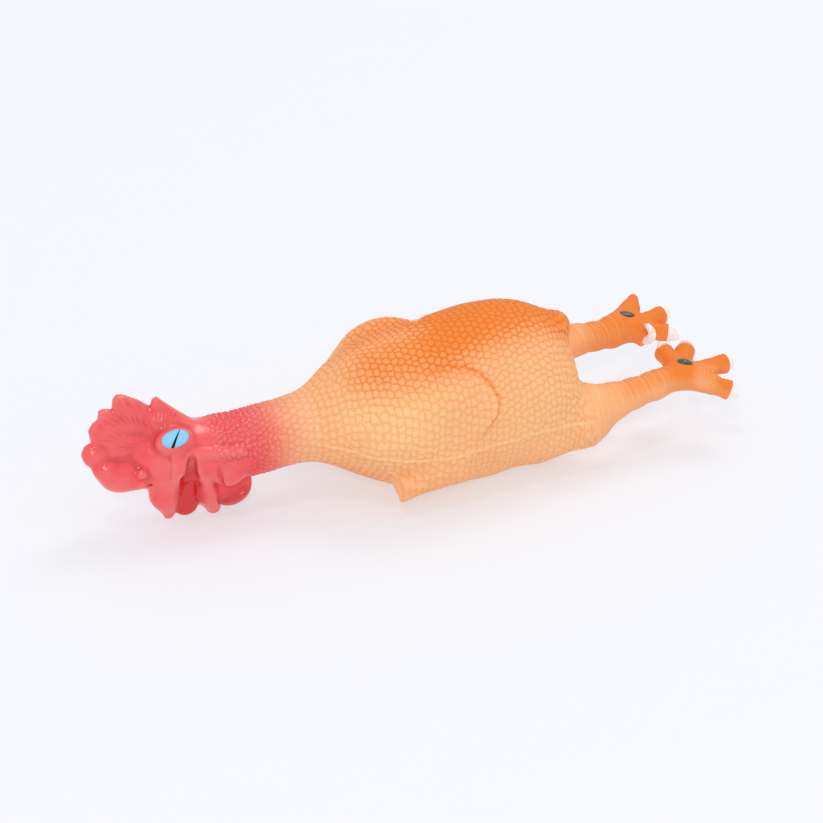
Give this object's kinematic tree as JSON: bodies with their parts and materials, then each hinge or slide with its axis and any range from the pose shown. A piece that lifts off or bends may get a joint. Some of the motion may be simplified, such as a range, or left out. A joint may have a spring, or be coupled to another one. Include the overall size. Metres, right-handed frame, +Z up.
{
  "type": "rubber chicken",
  "caption": "Hollow latex squeaking toy shaped like a plucked chicken lying on its belly, with a flexible neck, comb, legs and feet and a back that can be pressed.",
  "frame": {"origin": "on the surface that the toy lies on, under the belly at the middle of its length", "axes": "+X towards the feet, along the toy's length; +Z up; the toy's left side faces -Y"},
  "size_m": [0.2816, 0.0893, 0.071],
  "materials": {
    "skin_orange": "airbrushed latex with a fine scale texture, satin",
    "skin_peach": "unpainted peach latex with a fine scale texture, satin",
    "skin_red": "red latex, glossy",
    "eye_paint": "pale blue paint, glossy",
    "claw_paint": "white paint, satin",
    "spot_paint": "dark olive paint, glossy",
    "squeaker_plastic": "natural polyethylene",
    "reed_metal": "thin sheet"
  },
  "bodies": {
    "torso": {"torso_shell": "skin_orange", "left_wing": "skin_peach", "right_wing": "skin_peach", "left_thigh": "skin_orange", "right_thigh": "skin_orange", "tail": "skin_orange", "neck_flexure": "skin_red", "left_hip_flexure": "skin_orange", "right_hip_flexure": "skin_orange", "squeaker_cup": "squeaker_plastic", "squeaker_grille": "squeaker_plastic", "reed_tube": "squeaker_plastic"},
    "back": {"back_panel": "skin_orange"},
    "neck": {"neck_tube": "skin_red", "head_flexure": "skin_red"},
    "head": {"head_shell": "skin_red", "wattle": "skin_red", "left_eye": "eye_paint", "right_eye": "eye_paint"},
    "comb": {"comb": "skin_red"},
    "left_leg": {"left_leg": "skin_orange", "left_ankle_flexure": "skin_orange"},
    "right_leg": {"right_leg": "skin_orange", "right_ankle_flexure": "skin_orange"},
    "left_foot": {"left_foot": "skin_orange", "left_claws": "claw_paint", "left_foot_spot": "spot_paint"},
    "right_foot": {"right_foot": "skin_orange", "right_claws": "claw_paint", "right_foot_spot": "spot_paint"},
    "reed": {"reed": "reed_metal"}
  },
  "joints": [
    {"name": "back_squeeze", "type": "slide", "parent": "torso", "child": "back", "axis": [0, 0, -1], "range_m": [0, 0.014], "stiffness_N_per_m": 400},
    {"name": "neck_bend", "type": "hinge", "parent": "torso", "child": "neck", "pos_m": [-0.0536, 0, 0.0326], "axis": [0, 1, 0], "range_deg": [-30, 30], "stiffness_Nm_per_rad": 0.3},
    {"name": "head_turn", "type": "hinge", "parent": "neck", "child": "head", "pos_m": [-0.079, 0, 0.0298], "axis": [0, 0, 1], "range_deg": [-35, 35], "stiffness_Nm_per_rad": 0.2},
    {"name": "comb_flex", "type": "hinge", "parent": "head", "child": "comb", "pos_m": [-0.118, 0, 0.0407], "axis": [-0.8739, 0, -0.4861], "range_deg": [-18, 18], "stiffness_Nm_per_rad": 0.06},
    {"name": "left_leg_swing", "type": "hinge", "parent": "torso", "child": "left_leg", "pos_m": [0.08, -0.02, 0.028], "axis": [0, 1, 0], "range_deg": [-30, 30], "stiffness_Nm_per_rad": 0.15},
    {"name": "right_leg_swing", "type": "hinge", "parent": "torso", "child": "right_leg", "pos_m": [0.0825, 0.022, 0.036], "axis": [0, 1, 0], "range_deg": [-30, 30], "stiffness_Nm_per_rad": 0.15},
    {"name": "left_foot_flex", "type": "hinge", "parent": "left_leg", "child": "left_foot", "pos_m": [0.101, -0.0175, 0.033], "axis": [0, 1, 0], "range_deg": [-25, 25], "stiffness_Nm_per_rad": 0.06},
    {"name": "right_foot_flex", "type": "hinge", "parent": "right_leg", "child": "right_foot", "pos_m": [0.1015, 0.026, 0.0365], "axis": [0, 1, 0], "range_deg": [-25, 25], "stiffness_Nm_per_rad": 0.06},
    {"name": "reed_flex", "type": "hinge", "parent": "torso", "child": "reed", "pos_m": [0.0145, 0, 0.0044], "axis": [0, 1, 0], "range_deg": [-2.5, 6], "stiffness_Nm_per_rad": 0.001}
  ]
}
